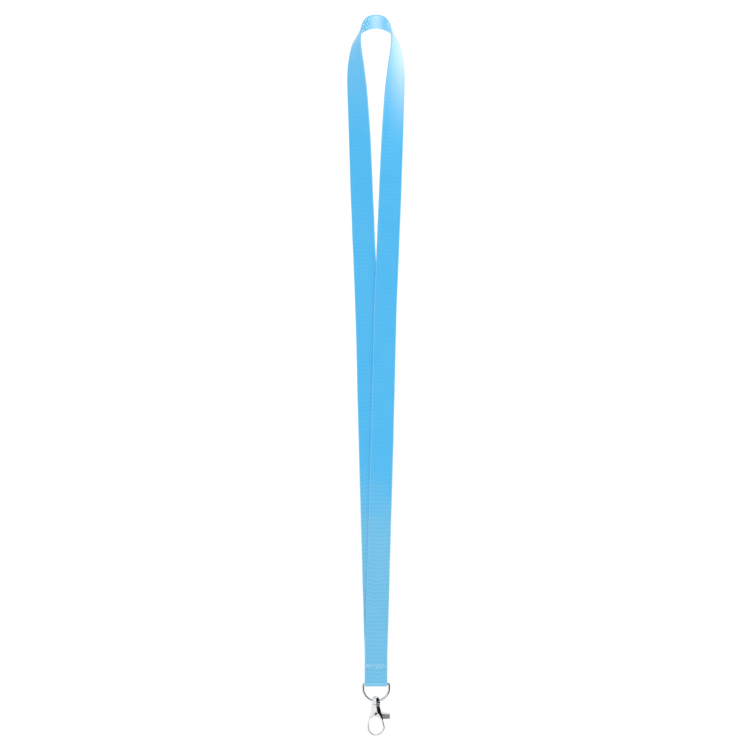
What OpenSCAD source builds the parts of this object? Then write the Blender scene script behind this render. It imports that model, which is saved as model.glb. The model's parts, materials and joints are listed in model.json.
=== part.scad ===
// Neck lanyard: one length of flat webbing, looped over the neck and sewn round the straight bar
// of a D-ring, which carries a swivel trigger hook. It hangs straight down: X is across the band,
// -Y is the front, +Z is up, and the origin is where the crown of the loop rests on the neck.

/* [Webbing] */
// Width of the webbing
strap_w = 15; // [14.5:0.1:15.2]
// Thickness of the webbing
strap_t = 1; // [0.8:0.1:1]
// Drop from the underside of the crown to the lowest point of the fold
strap_drop = 438.8; // [437:0.2:441]

/* [Seam] */
// Height of the middle of the stitching above the lowest point of the fold
seam_rise = 14; // [13:0.5:16]
// Height of the stitched band
seam_h = 2.4; // [2:0.1:2.8]
// Radius of the sewing thread
thread_r = 0.16; // [0.12:0.02:0.2]

/* [D-ring] */
// Radius of the ring's wire
wire_r = 0.8; // [0.75:0.01:0.8]
// Radius of the round side of the ring, to the wire's centre
ring_r = 8.6; // [8.5:0.1:8.8]
// Distance from the straight bar down to the centre of the round side
ring_drop = 2.95; // [2.5:0.05:3.2]

/* [Swivel eye] */
// Radius of the eye's column
eye_r = 3.05; // [2.9:0.05:3.2]
// Radius of the dome on the eye
dome_r = 2.53; // [2.4:0.01:2.6]
// Radius of the stem that the hook turns on
stem_r = 1; // [0.9:0.05:1]

/* [Hook] */
// Outer radius of the hook's bow
bow_r = 5.8; // [5.6:0.1:6]
// Radius of the hook's opening at its wide end
open_r = 4.5; // [4.3:0.1:4.6]
// Distance from the rivet down to the centre of the bow
bow_drop = 9.3; // [9.2:0.1:9.5]
// Half the hook's width at its neck
neck_r = 2.75; // [2.6:0.05:2.9]
// Radius of the rivet's shank
rivet_r = 0.85; // [0.75:0.05:0.85]
// Length of the thumb lever from the rivet
lever_l = 9.24; // [8.5:0.01:9.5]

/* [Hidden] */
$fn = 64;
eps = 0.01;

// Clearances of the fits
fold_gap = 0.1;      // webbing fold round the ring's bar
swivel_gap = 0.05;   // stem in the hook's neck
pivot_gap = 0.05;    // gate on its rivet
seat_gap = 0.1;      // gate against its seats on the hook, and between layers of webbing

// Swivel: heights above the rivet, then below and above the ring's wire
hook_drop = 8.05;    // from the ring's wire down to the rivet
stem_foot = 3.05;    // end of the stem, peened over
head_top = 3.85;     // seat of the peened head
collar_top = 6.15;
neck_top = 4.85;
neck_groove = 0.3;   // height of the groove under the collar
column_foot = -1.8;
column_top = 0.45;
dome_foot = 0.65;
dome_h = 2.8;

// Hook: outline of the neck and the small end of the opening
line_top = 4.7;      // where the neck's straight sides start
side_len = norm([neck_r, line_top + bow_drop]);
side_a = atan2(line_top + bow_drop, neck_r) - acos(bow_r / side_len);
top_r = 3.9;
top_x = -0.4;
top_drop = 6.2;

// Gate: half the slot's width, half the plate's thickness, and the radius of the lever's corners
slot_y = 0.95;
plate_y = 0.85;
lever_corner = 0.9;

// Spring: its coil round the rivet, and the angles of its moving leg and of the coil's start
coil_r = 1.22;
spring_wire = 0.14;
leg_a = 133.7;
start_a = 197.5;
coil_turn = 720 + leg_a - start_a;
coil_y0 = 0.12;
coil_y1 = 0.74;

// Levels, counted from the origin
fold_r = wire_r + fold_gap;
bar_z = -strap_drop + fold_r + strap_t;
eye_z = bar_z - ring_drop - ring_r;
pivot_z = eye_z - hook_drop;
seam_z = -strap_drop + seam_rise;
split_z = -60;
layer_y = strap_t + seat_gap;
fold_top = 19.2;
run_end = bar_z + fold_top;
tuck_z = bar_z + 7;

// Edges of the right half of the webbing, hung over the neck: near edge x, z, then far edge x, z.
// The near edge turns inwards and the far edge outwards as the band twists from the crown.
CROWN = [
    [0, 3.9, 0, -2.8], [5, 2.9, 5, -3.7], [8.2, -0.6, 8.8, -5.4], [9.6, -5.3, 12.3, -8.2],
    [10.2, -11.3, 15.2, -13], [9.7, -17.8, 17, -18.9], [8.3, -26.8, 18.5, -27.4],
    [7.1, -35.3, 19, -35.6], [5.9, -44.8, 18.9, -44.9], [4.7, split_z, 18.5, split_z]
];
RUN = [
    [4.7, split_z, 18.5, split_z], [3.6, -76, 18, -76], [2.1, -108, 17, -108],
    [0.7, -141, 15.7, -141], [-0.3, -165, 14.7, -165], [-1.5, -197, 13.5, -197],
    [-3.3, -271, 11.7, -271], [-5.1, -335, 9.9, -335], [-6.6, -389, 8.4, -389],
    [-strap_w / 2, run_end, strap_w / 2, run_end]
];

// Where the two runs start and finish moving apart, front to back
LAY_FROM = -76;
LAY_TO = -150;

function lerp(a, b, t) = a + (b - a) * t;
function clamp01(t) = min(1, max(0, t));
function ease(t) = t * t * (3 - 2 * t);
function unit(v) = v / norm(v);
function spline(p0, p1, p2, p3, t) =
    0.5 * (2 * p1 + (p2 - p0) * t + (2 * p0 - 5 * p1 + 4 * p2 - p3) * t * t
    + (3 * p1 - p0 - 3 * p2 + p3) * t * t * t);
function mirror_edge(e) = [-e[0], e[1], -e[2], e[3]];
function extra(a, b) = 2 * a - b;

// A smooth list of edge pairs through the given ones, with "steps" rings to each stretch
function smooth(edges, first, last, steps) = [
    for (i = [0 : len(edges) - 2], k = [0 : steps - 1])
        spline(i == 0 ? first : edges[i - 1], edges[i], edges[i + 1],
            i == len(edges) - 2 ? last : edges[i + 2], k / steps),
    edges[len(edges) - 1]
];

// The near and far points of an edge pair: the webbing keeps its width, so what the pair
// doesn't span in X and Z it spans in Y
function span_y(e) = sqrt(max(0, strap_w * strap_w - pow(e[2] - e[0], 2) - pow(e[3] - e[1], 2)));
function near_pt(e, y) = [e[0], y - span_y(e) / 2, e[1]];
function far_pt(e, y) = [e[2], y + span_y(e) / 2, e[3]];
function lay_y(e, y) = y * ease(clamp01((e[1] - LAY_FROM) / (LAY_TO - LAY_FROM)));

// Four corners of the webbing's section at ring i: near outer, far outer, far inner, near inner
function section(rings, i) =
    let (a = rings[max(0, i - 1)], b = rings[min(len(rings) - 1, i + 1)], r = rings[i],
        along = (b[0] + b[1] - a[0] - a[1]) / 2,
        n = unit(cross(along, r[1] - r[0])) * strap_t / 2)
    [r[0] + n, r[1] + n, r[1] - n, r[0] - n];

// Closed band through rings of near and far points
module band(rings) {
    count = len(rings);
    points = [for (i = [0 : count - 1]) each section(rings, i)];
    sides = [
        for (i = [0 : count - 2], k = [0 : 3])
            let (a = 4 * i + k, b = 4 * i + (k + 1) % 4)
            each [[a, b, b + 4], [a, b + 4, a + 4]]
    ];
    last = 4 * (count - 1);
    ends = [[0, 3, 2], [0, 2, 1], [last, last + 1, last + 2], [last, last + 2, last + 3]];
    polyhedron(points, concat(sides, ends));
}

// Round wire or thread of radius r along a path that never runs straight front to back
module tube(path, r) {
    sides = 8;
    count = len(path);
    points = [
        for (i = [0 : count - 1])
            let (d = unit(path[min(count - 1, i + 1)] - path[max(0, i - 1)]),
                u = unit(cross(d, [0, 1, 0])), v = cross(d, u))
            for (k = [0 : sides - 1])
                path[i] + r * (cos(360 * k / sides) * u + sin(360 * k / sides) * v)
    ];
    skin = [
        for (i = [0 : count - 2], k = [0 : sides - 1])
            let (a = sides * i + k, b = sides * i + (k + 1) % sides)
            each [[a, b + sides, b], [a, a + sides, b + sides]]
    ];
    ends = [
        [for (k = [0 : sides - 1]) k],
        [for (k = [sides - 1 : -1 : 0]) sides * (count - 1) + k]
    ];
    polyhedron(points, concat(skin, ends));
}

module webbing_colour() {
    color([0.38, 0.76, 0.94]) children();
}

module bright() {
    color([0.78, 0.79, 0.81]) children();
}

module strap_crown() {
    right = smooth(CROWN, mirror_edge(CROWN[1]), RUN[1], 4);
    left = [for (i = [len(right) - 1 : -1 : 1]) mirror_edge(right[i])];
    edges = concat(left, right);
    webbing_colour() band([for (e = edges) [near_pt(e, 0), far_pt(e, 0)]]);
}

// side: 1 for the right run, -1 for the left; y: the run's place front to back at the bottom
module strap_run(side, y) {
    edges = smooth(RUN, CROWN[len(CROWN) - 2], extra(RUN[len(RUN) - 1], RUN[len(RUN) - 2]), 3);
    rings = [for (e = edges) [near_pt(e, lay_y(e, y)), far_pt(e, lay_y(e, y))]];
    last = len(rings) - 1;
    across = [for (r = rings) [[side * r[0][0], r[0][1], r[0][2]], [side * r[1][0], r[1][1], r[1][2]]]];
    webbing_colour() band(side > 0 ? across : [for (i = [last : -1 : 0]) across[i]]);
}

module strap_left_run() {
    strap_run(-1, 0);
    // the sewn end, tucked between the two layers of the fold
    webbing_colour()
        translate([-strap_w / 2, -strap_t / 2, tuck_z])
            cube([strap_w, strap_t, run_end - tuck_z]);
}

module strap_right_run() {
    strap_run(1, -layer_y);
}

// Side view of the space inside a loop round the bar, of radius r there and y either side above
module loop_side(r, y, top) {
    knee = 6;
    circle(r);
    polygon([[-r, 0], [r, 0], [y, knee], [y, top], [-y, top], [-y, knee]]);
}

module strap_ring_fold() {
    webbing_colour()
        translate([-strap_w / 2, 0, bar_z]) rotate([90, 0, 90]) linear_extrude(strap_w)
            difference() {
                loop_side(fold_r + strap_t, layer_y + strap_t / 2, fold_top);
                loop_side(fold_r, layer_y - strap_t / 2, fold_top + 1);
            }
}

// A back-tacked seam: one thread that zigzags across the band on the face at depth y
module seam(y, turns) {
    half = strap_w / 2 - 1;
    tube([for (i = [0 : turns])
        [lerp(-half, half, i / turns), y, seam_z + (i % 2 == 0 ? 1 : -1) * seam_h / 2]], thread_r);
}

module needle_thread() {
    y = -(layer_y + strap_t / 2 + thread_r + eps);
    color([0.62, 0.87, 0.98]) seam(y, 13);
}

module bobbin_thread() {
    y = layer_y + strap_t / 2 + thread_r + eps;
    color([0.62, 0.87, 0.98]) seam(y, 13);
}

// Part of a round wire bent to radius r, from angle a through sweep s, in the XZ plane
module wire_bend(r, a, s) {
    rotate([90, 0, 0]) rotate([0, 0, a]) rotate_extrude(angle = s) translate([r, 0]) circle(wire_r);
}

module d_ring() {
    corner = 1.3;
    bar = ring_r - corner;
    joint = 0.05; // half the gap where the two ends of the wire meet in the bar
    bright() translate([0, 0, bar_z]) {
        for (side = [-1, 1]) {
            translate([side > 0 ? joint : -bar, 0, 0]) rotate([0, 90, 0])
                cylinder(r = wire_r, h = bar - joint);
            translate([side * bar, 0, -corner]) wire_bend(corner, side > 0 ? 0 : 90, 90);
            translate([side * ring_r, 0, -ring_drop]) cylinder(r = wire_r, h = ring_drop - corner);
        }
        translate([0, 0, -ring_drop]) wire_bend(ring_r, 180, 180);
    }
}

// Hole for the ring: it opens like a trumpet, to let the bent wire rock in it
module wire_passage() {
    reach = eye_r + 0.5;
    waist = wire_r + fold_gap;
    rotate([0, 90, 0]) rotate_extrude() difference() {
        translate([0, -reach]) square([waist + 1, 2 * reach]);
        translate([waist + ring_r, 0]) circle(ring_r, $fn = 128);
    }
}

module swivel_eye() {
    head_r = 1.5;
    stem_end = hook_drop - stem_foot;
    sag = (dome_r * dome_r - dome_h * dome_h) / (2 * dome_h); // centre of the dome's arc
    bright() translate([0, 0, eye_z]) {
        difference() {
            union() {
                translate([0, 0, column_foot]) cylinder(r = eye_r, h = column_top - column_foot);
                translate([0, 0, column_top - eps]) cylinder(r = dome_r, h = dome_foot - column_top + eps);
                intersection() {
                    translate([0, 0, dome_foot - sag]) sphere(dome_h + sag);
                    translate([0, 0, dome_foot - eps]) cylinder(r = dome_r, h = dome_h + 1);
                }
            }
            wire_passage();
        }
        translate([0, 0, -stem_end]) cylinder(r = stem_r, h = stem_end + column_foot + eps);
        translate([0, 0, -stem_end]) cylinder(r = head_r, h = head_top - stem_foot);
    }
}

// Outline of bow and neck: the neck's side lines touch the bow's circle
module bow_outline() {
    translate([0, -bow_drop]) circle(bow_r);
    polygon([
        [-neck_r, neck_top], [neck_r, neck_top], [neck_r, line_top],
        [bow_r * cos(side_a), -bow_drop + bow_r * sin(side_a)], [0, -bow_drop],
        [-bow_r * cos(side_a), -bow_drop + bow_r * sin(side_a)], [-neck_r, line_top]
    ]);
}

// The hook's egg-shaped opening: a wide round end below a smaller round end
module opening(grow = 0) {
    wide = open_r + grow;
    small = top_r + grow;
    low = [0, 0.1 - bow_drop];
    high = [top_x, -top_drop];
    gap = norm(high - low);
    lean = atan2(high[1] - low[1], high[0] - low[0]);
    open_a = acos((wide - small) / gap);
    function on(c, r, a) = c + r * [cos(a), sin(a)];
    translate(low) circle(wide);
    translate(high) circle(small);
    polygon([
        on(low, wide, lean + open_a), on(high, small, lean + open_a),
        on(high, small, lean - open_a), on(low, wide, lean - open_a)
    ]);
}

// Side view of the hook: thick at the neck and rivet, thinner round the bow
module hook_side() {
    outline = [[2.65, neck_top], [2.3, 1.9], [2.3, -2], [1.6, -7], [1.5, -bow_drop - bow_r - 1]];
    polygon(concat(outline, [for (i = [len(outline) - 1 : -1 : 0]) [-outline[i][0], outline[i][1]]]));
}

// Everything between the slanting seat at the foot of the body and the slanting nose of the bow
module gate_zone(gap) {
    polygon([
        [-7, 0.66 + gap], [-4.38, -1.5 + gap], [-2.85, -2.76 + gap], [-1.6, -3.79 + gap],
        [-3, -10.35 - gap], [-4.4, -9 - gap], [-5.75, -7.7 - gap], [-7, -6.5 - gap]
    ]);
}

module upright(depth) {
    rotate([90, 0, 0]) linear_extrude(depth, center = true) children();
}

module hook_form() {
    intersection() {
        upright(6) difference() {
            bow_outline();
            opening();
        }
        rotate([90, 0, 90]) linear_extrude(14, center = true) hook_side();
    }
}

module hook_body() {
    groove_r = 2.5;
    collar_r = 2.95;
    pocket_r = 1.7;
    pocket_top = 4;
    slot_top = 2.8;
    slot_foot = -3.9;
    bright() translate([0, 0, pivot_z])
        difference() {
            union() {
                hook_form();
                translate([0, 0, neck_top - eps]) cylinder(r = groove_r, h = neck_groove + 2 * eps);
                translate([0, 0, neck_top + neck_groove])
                    cylinder(r = collar_r, h = collar_top - neck_top - neck_groove);
            }
            // swivel bore and the pocket for the stem's head
            cylinder(r = stem_r + swivel_gap, h = collar_top + 1);
            translate([0, 0, slot_top - 1]) cylinder(r = pocket_r, h = pocket_top - slot_top + 1);
            // slot for the gate and its lever
            translate([-7, -slot_y, slot_foot]) cube([14, 2 * slot_y, slot_top - slot_foot]);
            upright(7) gate_zone(seat_gap + 0.04);
            // hole for the rivet
            rotate([90, 0, 0]) cylinder(r = rivet_r, h = 8, center = true);
        }
}

module lever_outline() {
    polygon([
        [-0.3, 1.4], [3.8, 0.96], [8.3, 0.06], [8.3, -0.8],
        [3.3, -3], [2.3, -2.7], [1.4, -2.1], [0, -1.6]
    ]);
    translate([8.3 + eps, -0.84]) circle(lever_corner);
    translate([8.3 + eps, -2.9]) circle(lever_corner);
    translate([3.3, -3.8]) square([5, 3.3]);
    translate([8, -2.9]) square([lever_l - 8, 2.06]);
}

module gate() {
    hub_r = 1.75;
    recess_r = 1.65;
    rim = 0.55;
    bright() translate([0, 0, pivot_z]) difference() {
        union() {
            intersection() {
                hook_form();
                upright(7) gate_zone(-seat_gap / 2);
            }
            upright(2 * plate_y) {
                circle(hub_r);
                polygon([[-1, 1.3], [-3.9, -1], [-4.2, -2.2], [-2.95, -3], [-0.9, -1.5]]);
                lever_outline();
            }
        }
        rotate([90, 0, 0]) cylinder(r = rivet_r + pivot_gap, h = 8, center = true);
        // recess behind the hub for the coil, and a groove for its leg
        translate([0, 1 - 0.06, 0]) rotate([90, 0, 0]) cylinder(r = recess_r, h = 1);
        translate([coil_r * cos(leg_a), 0.5, coil_r * sin(leg_a)]) rotate([0, 90 - leg_a, 0])
            translate([-3.4, 0, -0.25]) cube([3.4, 1, 0.5]);
        // shallow panel in each face of the thumb lever
        for (side = [-1, 1])
            translate([5.4, side * plate_y - 0.2, -3.8 + rim]) cube([3.2, 0.4, 2.6]);
    }
}

// Wire of the spring: fixed leg, coil, moving leg
function coil_pt(t) =
    let (a = start_a + coil_turn * t)
    [coil_r * cos(a), lerp(coil_y0, coil_y1, t), coil_r * sin(a)];

module gate_spring() {
    steps = 28;
    fixed_end = [-2.05, coil_y0, 2.6];
    moving_end = coil_pt(1) + 2.6 * [-sin(leg_a), 0, cos(leg_a)];
    color([0.55, 0.56, 0.58]) translate([0, 0, pivot_z])
        tube(concat([fixed_end], [for (i = [0 : steps]) coil_pt(i / steps)], [moving_end]), spring_wire);
}

module gate_rivet() {
    head_r = 1.6;
    head_t = 0.35;
    face = 2.3;
    bright() translate([0, 0, pivot_z]) difference() {
        union() {
            rotate([90, 0, 0]) cylinder(r = rivet_r, h = 2 * face, center = true);
            for (side = [-1, 1])
                rotate([side * 90, 0, 0]) translate([0, 0, face])
                    cylinder(r1 = head_r, r2 = head_r - 0.25, h = head_t);
        }
        // the hollow end that is rolled over
        translate([0, -face - head_t - eps, 0]) rotate([-90, 0, 0]) cylinder(r = 0.6, h = 1.5);
    }
}

strap_crown();
strap_left_run();
strap_right_run();
strap_ring_fold();
needle_thread();
bobbin_thread();
d_ring();
swivel_eye();
hook_body();
gate();
gate_spring();
gate_rivet();
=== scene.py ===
"""A hanging neck lanyard: ribbed webbing sewn round a D-ring, with a swivel trigger hook."""

import json
import logging
import math
import random
from bisect import bisect_right
from collections.abc import Callable, Iterable, Sequence
from dataclasses import dataclass
from enum import Enum

import bmesh
import bpy
from mathutils import Matrix, Vector


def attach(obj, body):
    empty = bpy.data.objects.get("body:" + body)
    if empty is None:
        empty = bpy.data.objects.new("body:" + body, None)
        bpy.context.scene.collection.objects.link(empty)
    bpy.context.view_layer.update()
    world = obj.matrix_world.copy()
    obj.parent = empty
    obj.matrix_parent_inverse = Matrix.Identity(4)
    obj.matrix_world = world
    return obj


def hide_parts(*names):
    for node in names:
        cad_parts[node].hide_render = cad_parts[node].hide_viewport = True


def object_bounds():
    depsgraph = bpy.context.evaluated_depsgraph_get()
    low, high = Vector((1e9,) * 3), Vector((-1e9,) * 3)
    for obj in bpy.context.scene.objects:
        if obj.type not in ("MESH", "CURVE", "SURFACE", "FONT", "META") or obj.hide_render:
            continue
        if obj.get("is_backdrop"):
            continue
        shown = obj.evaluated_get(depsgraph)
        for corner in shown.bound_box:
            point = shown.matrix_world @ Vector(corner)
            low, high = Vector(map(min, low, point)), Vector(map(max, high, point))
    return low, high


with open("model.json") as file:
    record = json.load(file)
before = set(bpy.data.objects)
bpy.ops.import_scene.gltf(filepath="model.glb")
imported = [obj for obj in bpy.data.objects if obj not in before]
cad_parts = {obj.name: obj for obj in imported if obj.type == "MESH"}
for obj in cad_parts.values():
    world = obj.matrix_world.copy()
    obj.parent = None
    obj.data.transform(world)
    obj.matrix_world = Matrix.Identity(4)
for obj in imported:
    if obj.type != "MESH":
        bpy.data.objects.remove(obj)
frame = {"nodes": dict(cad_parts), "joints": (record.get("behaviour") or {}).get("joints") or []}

MM = 0.001
Point = tuple[float, float]
Colour = tuple[float, float, float]
Loop = list[bmesh.types.BMEdge]
log = logging.getLogger("lanyard")


# ---------------------------------------------------------------- small helpers


def srgb(red: int, green: int, blue: int) -> Colour:
    """Turn a display colour into scene-linear values.

    Args:
        red: Red, 0 to 255.
        green: Green, 0 to 255.
        blue: Blue, 0 to 255.

    Returns:
        The linear red, green and blue.
    """
    def linear(value: int) -> float:
        """Return one channel in linear light."""
        share = value / 255
        return share / 12.92 if share <= 0.04045 else ((share + 0.055) / 1.055) ** 2.4

    return linear(red), linear(green), linear(blue)


def ease(share: float) -> float:
    """Return a smooth step of a share that is held between 0 and 1."""
    held = min(1.0, max(0.0, share))
    return held * held * (3 - 2 * held)


def mix(start: float, end: float, share: float) -> float:
    """Return the value that lies a share of the way from start to end."""
    return start + (end - start) * share


def arc(centre: Point, radius: float, start: float, end: float, steps: int) -> list[Point]:
    """Lay points along a circular arc.

    Args:
        centre: The arc's centre.
        radius: Its radius.
        start: The first point's angle in degrees.
        end: The last point's angle in degrees.
        steps: The number of stretches between the first and last points.

    Returns:
        The points, one more than steps.
    """
    turns = [math.radians(mix(start, end, step / steps)) for step in range(steps + 1)]
    return [(centre[0] + radius * math.cos(a), centre[1] + radius * math.sin(a)) for a in turns]


def table_value(table: Sequence[Point], key: float) -> float:
    """Read a smooth value from a short table of (key, value) pairs in rising order of key.

    Args:
        table: The pairs.
        key: The key to read at.

    Returns:
        The value between the two nearest keys.
    """
    keys = [pair[0] for pair in table]
    index = min(max(bisect_right(keys, key), 1), len(table) - 1)
    (low, first), (high, second) = table[index - 1], table[index]
    return mix(first, second, ease((key - low) / (high - low)))


# ---------------------------------------------------------------- shader expressions


class Signal:
    """One number in a shader. Arithmetic on it adds Math nodes to its graph."""

    def __init__(self, graph: "Graph", socket: bpy.types.NodeSocket) -> None:
        """Wrap a socket of the graph."""
        self.graph = graph
        self.socket = socket

    def _math(self, operation: str, *values: "Signal | float") -> "Signal":
        """Add a Math node on these values and return its result."""
        inputs = dict(enumerate(values))
        return self.graph.node("ShaderNodeMath", {"operation": operation}, inputs)

    def __add__(self, other: "Signal | float") -> "Signal":
        """Return self + other."""
        return self._math("ADD", self, other)

    __radd__ = __add__

    def __sub__(self, other: "Signal | float") -> "Signal":
        """Return self - other."""
        return self._math("SUBTRACT", self, other)

    def __rsub__(self, other: float) -> "Signal":
        """Return other - self."""
        return self._math("SUBTRACT", other, self)

    def __mul__(self, other: "Signal | float") -> "Signal":
        """Return self * other."""
        return self._math("MULTIPLY", self, other)

    __rmul__ = __mul__

    def __truediv__(self, other: "Signal | float") -> "Signal":
        """Return self / other."""
        return self._math("DIVIDE", self, other)

    def __pow__(self, other: "Signal | float") -> "Signal":
        """Return self to the power of other."""
        return self._math("POWER", self, other)

    def wave(self) -> "Signal":
        """Return the size of the sine: one hump for each whole number."""
        return self._math("SINE", self * math.pi).size()

    def size(self) -> "Signal":
        """Return the value without its sign."""
        return self._math("ABSOLUTE", self)

    def above(self, low: float, high: float) -> "Signal":
        """Return 0 below low and 1 above high, with a smooth step between them.

        Args:
            low: Where the step starts.
            high: Where it ends.

        Returns:
            The step as a signal.
        """
        settings = {"interpolation_type": "SMOOTHSTEP"}
        inputs = {"Value": self, "From Min": low, "From Max": high}
        return self.graph.node("ShaderNodeMapRange", settings, inputs, "Result")


class Graph:
    """The node tree of one material, built from Python expressions."""

    def __init__(self, name: str) -> None:
        """Start an empty material with this name.

        Args:
            name: The material's name.
        """
        self.material = bpy.data.materials.new(name)
        self.material.use_nodes = True
        self.tree = self.material.node_tree
        self.tree.nodes.clear()

    def node(
        self,
        kind: str,
        settings: dict[str, object] | None = None,
        inputs: dict[str | int, object] | None = None,
        output: str | int = 0,
    ) -> Signal:
        """Add a node.

        Args:
            kind: The node's type name.
            settings: The node's own properties, set before its sockets.
            inputs: What each socket, by name or number, holds or is linked to.
            output: The output that the result stands for.

        Returns:
            The chosen output as a signal.
        """
        node = self.tree.nodes.new(kind)
        for name, value in (settings or {}).items():
            setattr(node, name, value)
        for name, value in (inputs or {}).items():
            if isinstance(value, Signal):
                self.tree.links.new(value.socket, node.inputs[name])
            else:
                node.inputs[name].default_value = value
        return Signal(self, node.outputs[output])

    def blend(self, share: Signal, first: object, second: object) -> Signal:
        """Return a colour between first and second by a share, through a colour Mix node."""
        colours = [value if isinstance(value, Signal) else (*value, 1.0) for value in (first, second)]
        return self.node("ShaderNodeMix", {"data_type": "RGBA"}, {0: share, 6: colours[0], 7: colours[1]}, 2)

    def noise(self, place: Signal, scale: float, detail: float = 2.0, roughness: float = 0.5) -> Signal:
        """Return a noise value around 0.5 at a place, with this many features to the metre."""
        inputs = {"Vector": place, "Scale": scale, "Detail": detail, "Roughness": roughness}
        return self.node("ShaderNodeTexNoise", {}, inputs, "Fac")

    def place(self) -> Signal:
        """Return the surface point in the object's own coordinates."""
        return self.node("ShaderNodeTexCoord", {}, {}, "Object")

    def bump(self, height: Signal, depth: float, strength: float = 1.0) -> Signal:
        """Return a normal that a height from 0 to 1 dents by up to a depth in metres."""
        inputs = {"Strength": strength, "Distance": depth, "Height": height}
        return self.node("ShaderNodeBump", {}, inputs, "Normal")

    def finish(self, constants: dict[str, object], links: dict[str, Signal]) -> bpy.types.Material:
        """End the graph in one Principled shader.

        Args:
            constants: Values that are the same all over.
            links: The signals that vary over the surface.

        Returns:
            The finished material.
        """
        shader = self.node("ShaderNodeBsdfPrincipled", {}, {**constants, **links}, "BSDF")
        self.node_end(shader)
        return self.material

    def node_end(self, shader: Signal) -> None:
        """Link a shader to the material's output."""
        output = self.tree.nodes.new("ShaderNodeOutputMaterial")
        self.tree.links.new(shader.socket, output.inputs["Surface"])


# ---------------------------------------------------------------- finishes


@dataclass(frozen=True)
class WebbingFinish:
    """Sky-blue woven polyester with weft ribs, warp yarns and a firm selvedge.

    Painted light is laid into the colour: painted shade in the rib grooves and a painted shadow beside each
    selvedge, a painted sheen with deeper painted rib shade on the lower strap towards the ring, a painted
    highlight on the upper right run and under the crown, and another where the band bends round the bar. The
    piece's UV map holds the place across the band and along it, in metres.
    """

    yarn: Colour = srgb(80, 192, 246)
    # painted shade: the colour the yarn takes in the rib grooves
    shade: Colour = srgb(54, 166, 224)
    # painted sheen on the rib crests and deeper painted rib shade on the lower strap, towards the ring
    low_sheen_yarn: Colour = srgb(130, 210, 246)
    low_rib_shade: Colour = srgb(68, 152, 198)
    # painted highlight: the near-white sheen on the upper right run and under the crown
    highlight_white: Colour = srgb(207, 227, 238)
    # pale tone for the selvedge and random patches, and the painted highlight where the band bends round the
    # bar
    light: Colour = srgb(147, 214, 240)
    # heights over which the lower strap's painted sheen and deeper rib shade set in
    low_sheen_from: float = -0.285
    low_sheen_to: float = -0.345
    # height below which the band, bent round the bar, gets a painted highlight
    fold_foot: float = -0.4368
    # where the painted highlight of the upper strap lies, strongest on the right run
    highlight_foot: float = -0.085
    highlight_top: float = -0.012
    highlight_left: float = 0.004
    highlight_right: float = 0.019
    # where the painted highlight under the middle of the crown lies
    crown_highlight_foot: float = -0.0075
    crown_highlight_side: float = 0.0065
    rib_pitch: float = 0.000876
    warp_pitch: float = 0.00038
    half_width: float = 0.0075
    selvedge: float = 0.0007

    def dress(self) -> bpy.types.Material:
        """Return the webbing's material.

        Returns:
            The material of the ribbed cloth, mapped on the band.
        """
        graph = Graph("webbing")
        where = graph.node("ShaderNodeUVMap", {"uv_map": "Band"}, {}, "UV")
        across = graph.node("ShaderNodeSeparateXYZ", {}, {0: where}, "X")
        along = graph.node("ShaderNodeSeparateXYZ", {}, {0: where}, "Y")
        place = graph.place()
        wander = graph.noise(place, 900.0, 3.0) - 0.5
        rib = (along / self.rib_pitch + wander * 0.10).wave() ** 1.2
        warp = (across / self.warp_pitch + wander * 0.25).wave() ** 0.5
        edge = across.size().above(self.half_width - self.selvedge, self.half_width - self.selvedge * 0.7)
        # painted shadow in a thin line along the inner side of each selvedge
        selvedge_shadow = 1 - (across.size() - (self.half_width - self.selvedge)).size().above(0.00002, 0.00020)
        patches = graph.noise(place, 60.0, 2.0).above(0.3, 0.7)
        fibres = graph.noise(place, 5200.0, 2.0, 0.6)
        # rib pattern for the colour: painted shade in the rib grooves, warp and fibre texture, the painted
        # selvedge shadow and a paler selvedge
        lit = rib * 0.62 + warp * 0.16 + fibres * 0.22 - selvedge_shadow * (1 - rib) * 0.35 + edge * 0.10
        height_up = graph.node("ShaderNodeSeparateXYZ", {}, {0: place}, "Z")
        # painted sheen: paler rib crests and deeper painted rib shade on the lower strap, blended in by
        # height
        low_sheen = 1 - (height_up + (patches - 0.5) * 0.02).above(self.low_sheen_to, self.low_sheen_from)
        # upper strap: between the painted rib shade and the yarn
        upper_rib_tone = graph.blend(lit.above(0.12, 0.95), self.shade, self.yarn)
        wear_and_sheen = graph.blend(lit.above(0.22, 0.88), self.low_rib_shade, self.low_sheen_yarn)
        # yarn colour with the painted shade and painted sheen laid over it
        yarn_and_painted_light = graph.blend(low_sheen, upper_rib_tone, wear_and_sheen)
        sideways = graph.node("ShaderNodeSeparateXYZ", {}, {0: place}, "X")
        # painted highlight: paler towards the top of the strap, most on the right run
        out_right = sideways.above(self.highlight_left, self.highlight_right)
        painted_highlight = height_up.above(self.highlight_foot, self.highlight_top) * (0.12 + out_right * 0.68)
        # painted highlight under the middle of the crown, with paler rib lines
        crown_highlight = height_up.above(self.crown_highlight_foot, self.crown_highlight_foot + 0.004)
        painted_highlight = painted_highlight + crown_highlight * (1 - sideways.size().above(0.0005, self.crown_highlight_side)) * (0.2 + rib * 0.35)
        yarn_and_painted_light = graph.blend(painted_highlight, yarn_and_painted_light, self.highlight_white)
        # painted highlight where the band bends round the bar
        bent = 1 - height_up.above(self.fold_foot, self.fold_foot + 0.0009)
        # paler selvedge, random pale patches and the painted fold highlight
        tone_with_painted_light = graph.blend(edge * (0.25 + rib * 0.3) + patches * 0.06 + bent * 0.4, yarn_and_painted_light, self.light)
        height = rib * 0.3 + warp * rib * 0.45 + fibres * 0.25
        return graph.finish(
            {"Sheen Weight": 1.0, "Sheen Roughness": 0.3, "Specular IOR Level": 0.4},
            {"Base Color": tone_with_painted_light, "Roughness": 0.52 + fibres * 0.2,
             "Normal": graph.bump(height, 0.00008, 0.8)},
        )


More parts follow.
